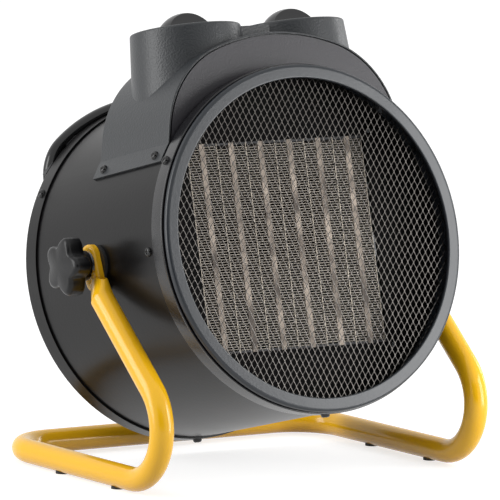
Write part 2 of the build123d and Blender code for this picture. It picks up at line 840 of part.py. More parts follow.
# ---------------------------------------------------------------- carry handle
def handle_rod(radius):
    """Round bar along the handle's line: an arch about the drum's axis that turns inward at both ends."""
    with BuildPart() as rod:
        with BuildLine(across(handle_depth)) as line:
            CenterArc((0, 0), handle_arch_radius, 90 - handle_arch_angle, 2 * handle_arch_angle)
            bend_place = handle_arch_radius - handle_bend_radius
            bend_x = bend_place * sin(radians(handle_arch_angle))
            bend_y = bend_place * cos(radians(handle_arch_angle))
            CenterArc((bend_x, bend_y), handle_bend_radius, 90 - handle_arch_angle, -handle_bend_angle)
            CenterArc((-bend_x, bend_y), handle_bend_radius, 90 + handle_arch_angle, handle_bend_angle)
        path = line.wires()[0]
        with BuildSketch(Plane(origin=path @ 0, z_dir=path % 0)):
            Circle(radius)
        sweep(path=path)
    return rod


carry_handle = handle_rod(handle_tube_radius)
carry_handle.part.label = "carry_handle"

# Each lug stands on the flat rear lip, with a groove that the handle lies in.
groove = handle_rod(handle_tube_radius + seat)
lug_inner = recess_radius - sheet
with BuildPart() as handle_lugs:
    with BuildSketch(across(drum_length + seat)):
        for angle in lug_angles:
            middle = (lug_inner + band_outer) / 2
            with Locations((middle * sin(radians(angle)), middle * cos(radians(angle)))):
                Rectangle(lug_width, band_outer - lug_inner, rotation=-angle)
    extrude(amount=-(handle_standoff + lug_grip))
    add(groove.part, mode=Mode.SUBTRACT)
handle_lugs.part.label = "handle_lugs"

# ---------------------------------------------------------------- control housing
outer_saddle = saddle_profile(0)
inner_saddle = saddle_profile(housing_wall)
pocket_saddle = saddle_profile(fascia_rim)
fascia_saddle = saddle_profile(fascia_inset)
flanges = flange_profile()


def turret_radius_at(height):
    """Outer radius of a turret at this height above the drum's axis."""
    return turret_radius + (turret_top - height) * tan(radians(turret_draft))


with BuildPart() as control_housing:
    with BuildSketch(across(housing_rear)):
        add(outer_saddle)
    extrude(amount=housing_length)
    for end in (0, -1):
        rim = edges().group_by(Axis(FACE, BACK))[end]
        fillet(rim.filter_by(lambda edge: abs((edge @ 0.5 - FACE).dot(UP)) > side_foot_height), housing_edge)
    for side in (-1, 1):
        with BuildSketch(upright(side * turret_offset, turret_depth)):
            Polygon(
                (0, turret_foot),
                (turret_radius_at(turret_foot), turret_foot),
                (turret_radius_at(floor_under), floor_under),
                (0, floor_under),
                align=None,
            )
        revolve(axis=Axis(upright(side * turret_offset, turret_depth).origin, UP))
    with BuildSketch(over(turret_top - bridge_drop)):
        with Locations((0, turret_depth)):
            Rectangle(bridge_width, bridge_depth)
    extrude(amount=-bridge_width)
    with BuildSketch(across(housing_rear - housing_wall)):
        add(inner_saddle)
    extrude(amount=housing_length - 2 * housing_wall - fascia_gauge, mode=Mode.SUBTRACT)
    for side in (-1, 1):
        turret_axis = Axis(upright(side * turret_offset, turret_depth).origin, UP)
        with BuildSketch(upright(side * turret_offset, turret_depth)):
            Polygon(
                (0, turret_foot),
                (turret_radius_at(turret_foot) - turret_wall, turret_foot),
                (turret_radius_at(floor_under) - turret_wall, floor_under),
                (0, floor_under),
                align=None,
            )
        revolve(axis=turret_axis, mode=Mode.SUBTRACT)
        with BuildSketch(upright(side * turret_offset, turret_depth)):
            Polygon(
                (0, floor_under),
                (turret_radius_at(floor_under), floor_under),
                (turret_radius, turret_top),
                (0, turret_top),
                align=None,
            )
            fillet(vertices().group_by(Axis.Y)[-1].sort_by(Axis.X)[-1], turret_edge)
        revolve(axis=turret_axis)
    with BuildSketch(over(floor_height)):
        with Locations((-turret_offset, turret_depth), (turret_offset, turret_depth)):
            Circle(turret_radius - turret_wall)
    extrude(amount=2 * cup_depth, mode=Mode.SUBTRACT)
    with BuildSketch(over(floor_height)):
        with Locations((-turret_offset, turret_depth), (turret_offset, turret_depth)):
            Circle(spindle_radius + spindle_hole_gap)
    extrude(amount=housing_wall, both=True, mode=Mode.SUBTRACT)
    with BuildSketch(across(drum_length)):
        Circle(band_inner)
    extrude(amount=drum_length, mode=Mode.SUBTRACT)
    with BuildSketch(across(housing_rear)):
        add(flanges)
    extrude(amount=housing_length)
    with BuildSketch(across(housing_front + fascia_gauge)):
        add(pocket_saddle)
    extrude(amount=2 * fascia_gauge, mode=Mode.SUBTRACT)
    for side in (-1, 1):
        for screw_depth in flange_screw_depths:
            with BuildSketch(radial(side * flange_screw_angle, screw_depth, band_inner - sheet)):
                Circle(screw_hole_radius)
            extrude(amount=4 * flange_gauge, mode=Mode.SUBTRACT)
control_housing.part.label = "control_housing"

with BuildPart() as front_fascia:
    with BuildSketch(across(housing_front + fascia_gauge)):
        add(fascia_saddle)
    extrude(amount=fascia_gauge - seat)
front_fascia.part.label = "front_fascia"

housing_screws = screw_row(
    [radial(side * flange_screw_angle, d, flange_top) for side in (-1, 1) for d in flange_screw_depths]
)
housing_screws.part.label = "housing_screws"

# ---------------------------------------------------------------- knobs and controls
selector_knob = domed_knob(-1)
selector_knob.part.label = "selector_knob"

thermostat_knob = domed_knob(1)
thermostat_knob.part.label = "thermostat_knob"

selector_spindle = spindle(-1, floor_under - switch_height / 2)
selector_spindle.part.label = "selector_spindle"

thermostat_spindle = spindle(1, floor_under - thermostat_height / 2)
thermostat_spindle.part.label = "thermostat_spindle"

with BuildPart() as rotary_switch:
    with BuildSketch(over(floor_under)):
        with Locations((-turret_offset, turret_depth)):
            Rectangle(switch_size, switch_size)
    extrude(amount=-switch_height)
    chamfer(edges().filter_by(Axis(FACE, UP)), switch_corner)
    with BuildSketch(over(floor_under)):
        with Locations((-turret_offset, turret_depth)):
            Circle(spindle_radius + bushing_gap)
    extrude(amount=-(switch_height / 2 + seat), mode=Mode.SUBTRACT)
rotary_switch.part.label = "rotary_switch"

with BuildPart() as room_thermostat:
    with BuildSketch(over(floor_under)):
        with Locations((turret_offset, turret_depth)):
            Circle(thermostat_radius)
    extrude(amount=-thermostat_height)
    with BuildSketch(over(floor_under)):
        with Locations((turret_offset, turret_depth)):
            Circle(spindle_radius + bushing_gap)
    extrude(amount=-(thermostat_height / 2 + seat), mode=Mode.SUBTRACT)
room_thermostat.part.label = "room_thermostat"

with BuildPart() as terminal_block:
    with BuildSketch(over(casing_radius + seat)):
        with Locations((0, turret_depth)):
            Rectangle(terminal_block_size[0], terminal_block_size[1])
    extrude(amount=terminal_block_size[2])
    with BuildSketch(over(casing_radius + seat + terminal_block_size[2])):
        with Locations((0, turret_depth)):
            with GridLocations(terminal_block_size[0] / 3, terminal_block_size[1] / 2, 3, 2):
                Circle(screw_shank_radius)
    extrude(amount=-terminal_block_size[2] / 2, mode=Mode.SUBTRACT)
terminal_block.part.label = "terminal_block"


# ---------------------------------------------------------------- tilt pivots and clamps
def sideways(side, x):
    """Plane square to the pivot's axis at this distance from the middle, facing away from the drum."""
    return Plane(origin=PIVOT + RIGHT * side * x, x_dir=(0, side, 0), z_dir=RIGHT * side)


def pivot_boss(side):
    """Round boss that lies on the casing and keeps the flattened tube end off it."""
    with BuildPart() as boss:
        with BuildSketch(sideways(side, casing_bore)):
            Circle(boss_radius)
            Circle(stud_radius + 2 * boss_gap, mode=Mode.SUBTRACT)
        extrude(amount=tongue_inner - boss_gap - casing_bore)
        with BuildSketch(across(drum_length)):
            Circle(band_inner)
        extrude(amount=drum_length, mode=Mode.SUBTRACT)
    return boss


def pivot_nut(side):
    """Hexagon nut inside the casing, with its bore on the pivot's axis."""
    with BuildPart() as nut:
        with BuildSketch(sideways(side, casing_bore - nut_seat)):
            RegularPolygon(nut_radius, 6)
            Circle(stud_radius + bushing_gap, mode=Mode.SUBTRACT)
        extrude(amount=-nut_length)
    return nut


def clamp_stud(side):
    """Stud from the nut out through the casing, the tube end and the washer into the star knob."""
    with BuildPart() as stud:
        with BuildSketch(sideways(side, casing_bore - nut_seat - nut_length)):
            Circle(stud_radius)
        extrude(amount=star_outer - stud_cover - seat - (casing_bore - nut_seat - nut_length))
    return stud


def clamp_washer(side):
    """Flat washer between the tube end and the star knob."""
    with BuildPart() as washer:
        with BuildSketch(sideways(side, washer_inner)):
            Circle(washer_radius)
            Circle(stud_radius + seat, mode=Mode.SUBTRACT)
        extrude(amount=washer_gauge)
    return washer


def clamp_knob(side):
    """Star knob: a round hub that carries a body with soft lobes, rounded on its outer face."""
    with BuildPart() as star:
        with BuildSketch(sideways(side, star_face)):
            Circle(star_waist_radius)
            with PolarLocations(star_radius - star_lobe_radius, star_lobes, start_angle=90 + star_turn):
                Circle(star_lobe_radius)
            fillet(vertices(), star_waist_fillet)
        extrude(amount=star_thickness)
        fillet(faces().sort_by(Axis(PIVOT, RIGHT * side))[-1].edges(), star_edge)
        with BuildSketch(sideways(side, star_face)):
            Circle(star_hub_radius)
        extrude(amount=-star_hub_length)
        with BuildSketch(sideways(side, star_inner)):
            Circle(stud_radius + seat)
        extrude(amount=star_outer - stud_cover - star_inner, mode=Mode.SUBTRACT)
    return star


left_pivot_boss = pivot_boss(-1)
left_pivot_boss.part.label = "left_pivot_boss"
right_pivot_boss = pivot_boss(1)
right_pivot_boss.part.label = "right_pivot_boss"
left_pivot_nut = pivot_nut(-1)
left_pivot_nut.part.label = "left_pivot_nut"
right_pivot_nut = pivot_nut(1)
right_pivot_nut.part.label = "right_pivot_nut"
left_clamp_stud = clamp_stud(-1)
left_clamp_stud.part.label = "left_clamp_stud"
right_clamp_stud = clamp_stud(1)
right_clamp_stud.part.label = "right_clamp_stud"
left_clamp_washer = clamp_washer(-1)
left_clamp_washer.part.label = "left_clamp_washer"
right_clamp_washer = clamp_washer(1)
right_clamp_washer.part.label = "right_clamp_washer"
left_clamp_knob = clamp_knob(-1)
left_clamp_knob.part.label = "left_clamp_knob"
right_clamp_knob = clamp_knob(1)
right_clamp_knob.part.label = "right_clamp_knob"

# ---------------------------------------------------------------- stand
LEG = Vector(0, -sin(radians(leg_angle)), -cos(radians(leg_angle)))
leg_length = pivot_rise / cos(radians(leg_angle))
leg_foot = PIVOT + LEG * leg_length
leg_top = PIVOT + LEG * press_start
crossbar_y = PIVOT.Y + crossbar_back


def leg_section(side, x, along):
    """Plane square to a leg at this distance down from the pivot, facing up, with X to the right."""
    return Plane(origin=PIVOT + RIGHT * side * x + LEG * along, x_dir=RIGHT, z_dir=LEG * -1)


def stand_bar(inset):
    """Bar along the stand's route, this much inside the tube's skin, pressed oval at both ends."""
    with BuildPart() as bar:
        with BuildLine():
            route = FilletPolyline(
                (-leg_spread, leg_top.Y, leg_top.Z),
                (-leg_spread, leg_foot.Y, leg_foot.Z),
                (-leg_spread, crossbar_y, foot_height),
                (leg_spread, crossbar_y, foot_height),
                (leg_spread, leg_foot.Y, leg_foot.Z),
                (leg_spread, leg_top.Y, leg_top.Z),
                radius=(front_bend, rear_bend, rear_bend, front_bend),
            )
        with BuildSketch(Plane(origin=route @ 0, z_dir=route % 0)):
            Circle(tube_radius - inset)
        sweep(path=route)
        for side in (-1, 1):
            with BuildSketch(leg_section(side, leg_spread, press_start)):
                Circle(tube_radius - inset)
            with BuildSketch(leg_section(side, tongue_inner + oval_gauge / 2, press_end)):
                Ellipse(oval_gauge / 2 - inset, oval_width / 2 - inset)
            loft()
            with BuildSketch(leg_section(side, tongue_inner + oval_gauge / 2, press_end)):
                Ellipse(oval_gauge / 2 - inset, oval_width / 2 - inset)
            extrude(amount=oval_width)
    return bar


def tongue(side):
    """Flat end that the stud passes through, with its outer edge rounded."""
    with BuildPart() as flat:
        with BuildSketch(sideways(side, tongue_inner)):
            for forward, height in (tongue_top, tongue_root):
                with Locations((-side * forward, height)):
                    Circle(tongue_radius)
            make_hull()
        extrude(amount=oval_gauge)
        fillet(faces().sort_by(Axis(PIVOT, RIGHT * side))[-1].edges(), tongue_edge)
    return flat


stand_skin = stand_bar(0)
stand_bore = stand_bar(tube_wall)
left_tongue = tongue(-1)
right_tongue = tongue(1)
with BuildPart() as stand_tube:
    add(stand_skin.part)
    add(stand_bore.part, mode=Mode.SUBTRACT)
    with BuildSketch(Plane(origin=PIVOT - Vector(0, 0, shoulder_drop))):
        Rectangle(3 * leg_spread, 2 * oval_width)
    extrude(amount=2 * oval_width, mode=Mode.SUBTRACT)
    add(left_tongue.part)
    add(right_tongue.part)
    for side in (-1, 1):
        with BuildSketch(sideways(side, tongue_inner)):
            Circle(stud_radius + stud_gap)
        extrude(amount=2 * oval_gauge, both=True, mode=Mode.SUBTRACT)
stand_tube.part.label = "stand_tube"

with BuildPart() as stand_pads:
    with BuildSketch():
        for side in (-1, 1):
            with Locations((side * leg_spread, PIVOT.Y + pad_front), (side * leg_spread, PIVOT.Y + pad_rear)):
                Circle(pad_radius)
    extrude(amount=pad_height)
    for side in (-1, 1):
        with BuildSketch(Plane(origin=(side * leg_spread, PIVOT.Y, foot_height), z_dir=(0, 1, 0))):
            Circle(tube_radius + seat)
        extrude(amount=2 * pad_rear - pad_front, both=True, mode=Mode.SUBTRACT)
stand_pads.part.label = "stand_pads"

# ---------------------------------------------------------------- output
pieces = (
    drum_casing,
    front_bezel,
    front_band,
    front_band_screws,
    mesh_spacer,
    front_mesh,
    core_baffle,
    baffle_screws,
    ptc_bars,
    ptc_fins,
    ptc_dividers,
    ptc_end_caps,
    core_screws,
    thermal_cutout,
    fan_shroud,
    fan_impeller,
    motor_shaft,
    fan_motor,
    motor_bracket,
    rear_cover,
    rear_band_screws,
    rear_grille,
    grille_screws,
    cord_gland,
    carry_handle,
    handle_lugs,
    control_housing,
    front_fascia,
    housing_screws,
    selector_knob,
    selector_spindle,
    thermostat_knob,
    thermostat_spindle,
    rotary_switch,
    room_thermostat,
    terminal_block,
    left_pivot_boss,
    right_pivot_boss,
    left_pivot_nut,
    right_pivot_nut,
    left_clamp_stud,
    right_clamp_stud,
    left_clamp_washer,
    right_clamp_washer,
    left_clamp_knob,
    right_clamp_knob,
    stand_tube,
    stand_pads,
)
os.makedirs("parts", exist_ok=True)
for piece in pieces:
    export_step(piece.part, f"parts/{piece.part.label}.step")
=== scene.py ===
# %% [markdown]
# # A forced air heater, dressed for its picture
# The solids come from the construction model: a round steel drum that tilts in a bent tube stand, with a
# moulded control housing on top. This notebook gives each of them the finish of the real object and
# adds the forms that are too fine for the solids, such as the expanded mesh and the folded fins. Every
# length is written in millimetres, as on a drawing, and turned to metres where it meets Blender.

import math

import bpy
import numpy as np
from mathutils import Matrix


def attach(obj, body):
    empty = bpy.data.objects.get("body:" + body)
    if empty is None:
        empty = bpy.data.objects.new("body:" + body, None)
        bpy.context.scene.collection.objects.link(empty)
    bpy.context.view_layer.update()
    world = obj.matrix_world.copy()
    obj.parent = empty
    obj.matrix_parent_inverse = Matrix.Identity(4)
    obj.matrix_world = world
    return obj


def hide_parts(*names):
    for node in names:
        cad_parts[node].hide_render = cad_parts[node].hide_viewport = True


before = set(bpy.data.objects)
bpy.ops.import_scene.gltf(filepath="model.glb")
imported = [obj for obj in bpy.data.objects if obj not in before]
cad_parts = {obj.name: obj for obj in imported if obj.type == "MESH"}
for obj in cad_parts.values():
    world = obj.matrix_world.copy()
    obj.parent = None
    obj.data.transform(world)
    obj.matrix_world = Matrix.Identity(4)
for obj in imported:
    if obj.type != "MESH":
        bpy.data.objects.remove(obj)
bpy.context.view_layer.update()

# %% [markdown]
# ## One ruler for the whole object
# The drum leans back by 14 degrees, so its rims and knobs aren't level. It is easier to think in the
# drum's own directions: across to the right, up from its axis, and back from the front rim. One function
# takes points in those three numbers to the room, and everything on the drum uses it.

# %% The drum's own coordinates
MM = 0.001
TILT = math.radians(14.0)
DRUM_LENGTH = 178.8
PIVOT = np.array([0.0, -6.153, 141.5])
RIGHT = np.array([1.0, 0.0, 0.0])
BACK = np.array([0.0, math.cos(TILT), -math.sin(TILT)])
UP = np.array([0.0, math.sin(TILT), math.cos(TILT)])
FACE = PIVOT - BACK * DRUM_LENGTH / 2


def in_room(across, up, back):
    """Point = front centre + across * right + up * up + back * back, for whole arrays at once."""
    across, up, back = np.broadcast_arrays(across, up, back)
    return FACE + across[..., None] * RIGHT + up[..., None] * UP + back[..., None] * BACK


print("front centre of the drum, mm:", np.round(FACE, 2))

# %% [markdown]
# ## A camera with a long lens
# The camera stands four metres away, a little above the drum's middle and to the left of the mesh. A
# long lens keeps the far rim nearly as large as the near one. The tiny roll of under one degree is kept,
# because the stand's feet show it.

# %% Camera
azimuth, elevation, roll = (math.radians(a) for a in (-33.59, 7.23, 0.9))
toward_camera = np.array(
    [math.sin(azimuth) * math.cos(elevation), -math.cos(azimuth) * math.cos(elevation), math.sin(elevation)]
)
level_right = np.array([math.cos(azimuth), math.sin(azimuth), 0.0])
level_up = np.cross(toward_camera, level_right)
camera_right = level_right * math.cos(roll) + level_up * math.sin(roll)
camera_up = level_up * math.cos(roll) - level_right * math.sin(roll)
CAMERA_DISTANCE = 4058.46
target = np.array([-0.11, -15.323, 145.80])
eye = (target + toward_camera * CAMERA_DISTANCE) * MM

lens = bpy.data.cameras.new("long_lens")
lens.sensor_width = 36.0
lens.lens = 438.64
lens.clip_end = 50.0
camera = bpy.data.objects.new("camera", lens)
turn = Matrix(np.column_stack([camera_right, camera_up, toward_camera]).tolist())
camera.matrix_world = Matrix.Translation(eye.tolist()) @ turn.to_4x4()
bpy.context.scene.collection.objects.link(camera)
bpy.context.scene.camera = camera
bpy.context.scene.view_settings.view_transform = "Standard"
print("camera at", np.round(eye, 3), "m with a lens of", lens.lens, "mm")

# %% [markdown]
# ## Colours and nodes
# Paint charts and pictures give colours as hex values in sRGB, but the shaders work in linear light.
# One function does that step for every colour. A second small function adds any shader node with its
# settings and links, so that a finish reads like a short recipe.

# %% Colour and node helpers
def linear(hex_colour):
    """Each channel: c / 12.92 below 0.04045, else ((c + 0.055) / 1.055) to the power 2.4."""
    channels = np.array([int(hex_colour[i : i + 2], 16) / 255 for i in (1, 3, 5)])
    low, high = channels / 12.92, ((channels + 0.055) / 1.055) ** 2.4
    return (*np.where(channels <= 0.04045, low, high).tolist(), 1.0)


def add(tree, kind, settings=None, values=None, links=None):
    """A node of this kind with its settings, its input values and links from (node, output) pairs."""
    node = tree.nodes.new(kind)
    for name, value in (settings or {}).items():
        setattr(node, name, value)
    for name, value in (values or {}).items():
        node.inputs[name].default_value = value
    for name, (source, output) in (links or {}).items():
        tree.links.new(source.outputs[output], node.inputs[name])
    return node


def start_finish(name, **principled):
    """A new material with its main shader set and a texture coordinate node beside it."""
    finish = bpy.data.materials.new(name)
    finish.use_nodes = True
    tree = finish.node_tree
    shader = tree.nodes["Principled BSDF"]
    for key, value in principled.items():
        shader.inputs[key.replace("_", " ")].default_value = value
    return finish, tree, shader, add(tree, "ShaderNodeTexCoord")


print("white is", linear("#FFFFFF")[:3])

# %% [markdown]
# ## Powder coat and satin paint on steel
# Powder coat is sprayed on as dry resin and baked, so it flows into a smooth skin with a faint orange
# peel, about 2 mm from crest to crest and far under a tenth of a millimetre deep. The eye reads it from
# how the edges of reflections waver. A noise on a bump of that size gives it. Dust and handling vary the
# gloss a little, so a slower noise moves the roughness.

# %% Sprayed and baked finishes
def sprayed(name, colour, roughness, peel_mm=2.0, peel=0.04, spread=0.06, shift=0.12, ior=1.5, sheen=0.5):
    """Bump = noise at the peel's spacing; roughness = base + spread * slow noise; colour drifts by shift."""
    finish, tree, shader, place = start_finish(name, Roughness=roughness, IOR=ior, Specular_IOR_Level=sheen)
    object_place = {"Vector": (place, "Object")}
    slow = add(tree, "ShaderNodeTexNoise", values={"Scale": 22.0, "Detail": 3.0}, links=object_place)
    fine = add(
        tree, "ShaderNodeTexNoise", values={"Scale": 1000.0 / peel_mm, "Detail": 1.0}, links=object_place
    )
    base = linear(colour)
    dark = tuple(c * (1 - shift) for c in base[:3]) + (1.0,)
    light = tuple(min(1.0, c * (1 + shift)) for c in base[:3]) + (1.0,)
    tint = add(tree, "ShaderNodeMix", {"data_type": "RGBA"}, {6: dark, 7: light}, {"Factor": (slow, "Fac")})
    gloss = add(
        tree,
        "ShaderNodeMapRange",
        values={"To Min": roughness - spread, "To Max": roughness + spread},
        links={"Value": (slow, "Fac")},
    )
    bump = add(
        tree, "ShaderNodeBump", values={"Strength": peel, "Distance": 0.001}, links={"Height": (fine, "Fac")}
    )
    tree.links.new(tint.outputs[2], shader.inputs["Base Color"])
    tree.links.new(gloss.outputs["Result"], shader.inputs["Roughness"])
    tree.links.new(bump.outputs["Normal"], shader.inputs["Normal"])
    return finish


satin_black_enamel = sprayed("satin_black_enamel_on_steel", "#0A090A", 0.3, spread=0.03, ior=1.42, sheen=0.3)
matt_black_enamel = sprayed("matt_black_enamel_inside", "#060606", 0.8, spread=0.03, sheen=0.12)
hoop_enamel = sprayed("glossy_enamel_on_hoop", "#17171A", 0.24, spread=0.03)
graphite_enamel = sprayed("graphite_enamel_on_steel", "#20252B", 0.3)
gloss_black_enamel = sprayed("gloss_black_enamel", "#0C0C0D", 0.18, peel=0.02, spread=0.03)
yellow_powder_coat = sprayed("yellow_powder_coat", "#FFC117", 0.2, peel_mm=3.0, peel=0.02, shift=0.03)
print("sprayed finishes made:", sum("enamel" in m.name or "coat" in m.name for m in bpy.data.materials))

# %% [markdown]
# ## Moulded plastic with a spark-eroded grain
# The housing is moulded in glass-filled nylon, in a mould whose walls were spark eroded. That leaves a
# grain of small pits, about 1.2 mm apart, and a soft grey sheen with no sharp reflection. A cell pattern
# on the bump makes the pits, and a fine noise flecks the colour as the glass fibre does.

# %% Moulded finishes
def moulded(name, colour, roughness, grain_mm=1.2, grain=0.16, fleck=0.16, sheen=0.5):
    """Bump = distance to scattered cell centres at the grain's spacing; colour = base * (1 +- fleck)."""
    finish, tree, shader, place = start_finish(name, Roughness=roughness, IOR=1.53, Specular_IOR_Level=sheen)
    object_place = {"Vector": (place, "Object")}
    pits = add(
        tree,
        "ShaderNodeTexVoronoi",
        {"feature": "SMOOTH_F1"},
        {"Scale": 1000.0 / grain_mm},
        object_place,
    )
    fibre = add(tree, "ShaderNodeTexNoise", values={"Scale": 700.0, "Detail": 2.0}, links=object_place)
    base = linear(colour)
    dark = tuple(c * (1 - fleck) for c in base[:3]) + (1.0,)
    light = tuple(min(1.0, c * (1 + fleck)) for c in base[:3]) + (1.0,)
    tint = add(tree, "ShaderNodeMix", {"data_type": "RGBA"}, {6: dark, 7: light}, {"Factor": (fibre, "Fac")})
    bump = add(
        tree,
        "ShaderNodeBump",
        values={"Strength": grain, "Distance": 0.0006},
        links={"Height": (pits, "Distance")},
    )
    tree.links.new(tint.outputs[2], shader.inputs["Base Color"])
    tree.links.new(bump.outputs["Normal"], shader.inputs["Normal"])
    return finish


housing_nylon = moulded("spark_grained_nylon", "#26292C", 0.4, grain=0.3)
fascia_nylon = moulded("fascia_nylon", "#26242A", 0.44, grain=0.12)
knob_nylon = moulded("polished_nylon_knob", "#161618", 0.28, grain=0.02)
star_nylon = moulded("star_knob_nylon", "#0D0D0F", 0.3, grain=0.05, sheen=0.3)
gland_nylon = moulded("black_nylon_fitting", "#1E1E20", 0.5)
cap_resin = moulded("phenolic_end_cap", "#232326", 0.6)
switch_resin = moulded("pale_switch_resin", "#CFCABD", 0.5, grain=0.05)
pad_rubber = moulded("moulded_rubber_foot", "#1B1B1C", 0.75)
print("moulded finishes made")

# %% [markdown]
# ## Bare metals and the ceramic
# The fins are thin rolled aluminium, dulled by heat. The fan's shroud and the motor are galvanised steel,
# the studs and nuts are bright zinc, and the heating stones between the fins sit in tan insulating film,
# mottled where the adhesive has browned. Each keeps its own tint and roughness.

# %% Metal and ceramic finishes
def bare_metal(name, colour, roughness, scale=120.0, spread=0.08):
    """A metal whose roughness = base + spread * noise, as from rolling or plating."""
    finish, tree, shader, place = start_finish(
        name, Metallic=1.0, Roughness=roughness, Base_Color=linear(colour)
    )
    smear = add(
        tree,
        "ShaderNodeTexNoise",
        values={"Scale": scale, "Detail": 3.0},
        links={"Vector": (place, "Object")},
    )
    gloss = add(
        tree,
        "ShaderNodeMapRange",
        values={"To Min": roughness - spread, "To Max": roughness + spread},
        links={"Value": (smear, "Fac")},
    )
    tree.links.new(gloss.outputs["Result"], shader.inputs["Roughness"])
    return finish


fin_aluminium = bare_metal("rolled_fin_aluminium", "#8E877E", 0.55)
divider_aluminium = bare_metal("flat_divider_aluminium", "#8C857B", 0.5)
dark_zinc = bare_metal("dark_zinc_on_expanded_mesh", "#5C5956", 0.38, scale=260.0, spread=0.12)
galvanised_steel = bare_metal("galvanised_steel", "#8E9094", 0.45, scale=40.0)
zinc_plate = bare_metal("bright_zinc_plate", "#C8C9CB", 0.22)
fan_sheet = bare_metal("fan_sheet_aluminium", "#A3A5A9", 0.35)

element_film, tree, shader, place = start_finish("browned_element_film", Roughness=0.6, IOR=1.5)
mottle = add(
    tree, "ShaderNodeTexNoise", values={"Scale": 60.0, "Detail": 5.0}, links={"Vector": (place, "Object")}
)
contrast = add(
    tree, "ShaderNodeMapRange", values={"From Min": 0.36, "From Max": 0.64}, links={"Value": (mottle, "Fac")}
)
tint = add(
    tree,
    "ShaderNodeMix",
    {"data_type": "RGBA"},
    {6: linear("#5E534A"), 7: linear("#CDBDAD")},
    {"Factor": (contrast, "Result")},
)
tree.links.new(tint.outputs[2], shader.inputs["Base Color"])
print("metals and film made")

# %% [markdown]
# ## From numbers to a mesh
# Every new piece here is a grid of points: rows along one direction, columns along the other. The faces
# join neighbours, and a grid that comes back to its start closes like a ring. After the points are in
# place the normals are turned outward. Edges sharper than 35 degrees stay crisp, or sharper than the
# angle that a piece gives.

# %% Grid and piece helpers
import bmesh


def grid_faces(rows, columns, close_rows=False, close_columns=False):
    """Quads of a grid: corner (i, j), (i + 1, j), (i + 1, j + 1), (i, j + 1), with wrap where closed."""
    i = np.arange(rows if close_rows else rows - 1)
    j = np.arange(columns if close_columns else columns - 1)
    i, j = np.meshgrid(i, j, indexing="ij")
    i2, j2 = (i + 1) % rows, (j + 1) % columns
    quads = [i * columns + j, i2 * columns + j, i2 * columns + j2, i * columns + j2]
    return np.stack(quads, axis=-1).reshape(-1, 4)


def make_piece(name, points, faces, body, finish, stands_for=(), merge_mm=0.0, crisp=35.0):
    """Points in mm and faces become an object at the origin that rides on a body."""
    mesh = bpy.data.meshes.new(name)
    mesh.from_pydata((np.asarray(points).reshape(-1, 3) * MM).tolist(), [], np.asarray(faces).tolist())
    work = bmesh.new()
    work.from_mesh(mesh)
    if merge_mm:
        bmesh.ops.remove_doubles(work, verts=work.verts, dist=merge_mm * MM)
        bmesh.ops.dissolve_degenerate(work, dist=merge_mm * MM, edges=work.edges)
    bmesh.ops.recalc_face_normals(work, faces=work.faces)
    work.to_mesh(mesh)
    work.free()
    mesh.shade_smooth()
    mesh.set_sharp_from_angle(angle=math.radians(crisp))
    mesh.materials.append(finish)
    piece = bpy.data.objects.new(name, mesh)
    bpy.context.scene.collection.objects.link(piece)
    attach(piece, body)
    if stands_for:
        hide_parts(*stands_for)
    print(f"{name}: {len(mesh.vertices)} points, {len(mesh.polygons)} faces")
    return piece


def rounded(corners, radii, steps=5, guard=0.0):
    """Corners become curves (1-t)^2 A + 2(1-t)t C + t^2 B; a guard point keeps the flats beside them flat."""
    corners = np.asarray(corners, float)
    t = np.linspace(0, 1, steps)[:, None]
    out = []
    for before, corner, after, radius in zip(np.roll(corners, 1, 0), corners, np.roll(corners, -1, 0), radii):
        start = corner + (before - corner) / np.linalg.norm(before - corner) * radius
        stop = corner + (after - corner) / np.linalg.norm(after - corner) * radius
        curve = (1 - t) ** 2 * start + 2 * (1 - t) * t * corner + t**2 * stop
        if guard:
            first = start + (before - corner) / np.linalg.norm(before - corner) * guard
            last = stop + (after - corner) / np.linalg.norm(after - corner) * guard
            curve = np.vstack([first, curve, last])
        out.append(curve)
    return np.concatenate(out)


def spun(profile, turns=240):
    """Point = (r sin a, r cos a, d) in the drum's coordinates, for each angle a and profile pair (d, r)."""
    angle = np.linspace(0, 2 * math.pi, turns, endpoint=False)[:, None]
    depth, radius = profile[None, :, 0], profile[None, :, 1]
    points = in_room(radius * np.sin(angle), radius * np.cos(angle), depth + 0 * angle)
    return points, grid_faces(turns, len(profile), True, True)


# %% [markdown]
# ## The front bezel
# The bezel is a drawn steel ring whose outer corner was rolled round and whose window is turned in.
# The roll is seen all the way round, so its section is drawn with curved corners and spun about the
# drum's axis. A guard point beside each curve keeps the shading of the flat face flat.

# %% Bezel
SHEET, NEST = 1.2, 112.9
WINDOW, RIM, RIM_DEPTH, SKIRT_DEPTH = 105.9, 115.0, 3.6, 20.0
bezel_corners = [(0, WINDOW), (0, RIM), (RIM_DEPTH, RIM), (RIM_DEPTH, RIM - SHEET), (SHEET, RIM - SHEET)]
bezel_corners += [(SHEET, NEST), (SKIRT_DEPTH, NEST), (SKIRT_DEPTH, NEST - SHEET), (SHEET, NEST - SHEET)]
bezel_corners += [(SHEET, WINDOW + SHEET), (2 * SHEET, WINDOW + SHEET), (2 * SHEET, WINDOW)]
bezel_radii = [0.9, 2.3, 0.4, 0.3, 0.2, 0.2, 0.4, 0.4, 0.2, 0.3, 0.3, 0.4]
points, faces = spun(rounded(bezel_corners, bezel_radii, guard=0.1))
make_piece(
    "rolled_bezel", points, faces, "heater", graphite_enamel, ["front_bezel"]
)

# %% [markdown]
# ## The front band
# A separate hoop is clamped round the front of the drum. Its front edge is rolled over into a thin bead,
# and that bead draws the fine bright line beside the bezel. It is the same kind of surface as the bezel,
# a section spun about the axis, with the bead drawn as a corner that has a radius.

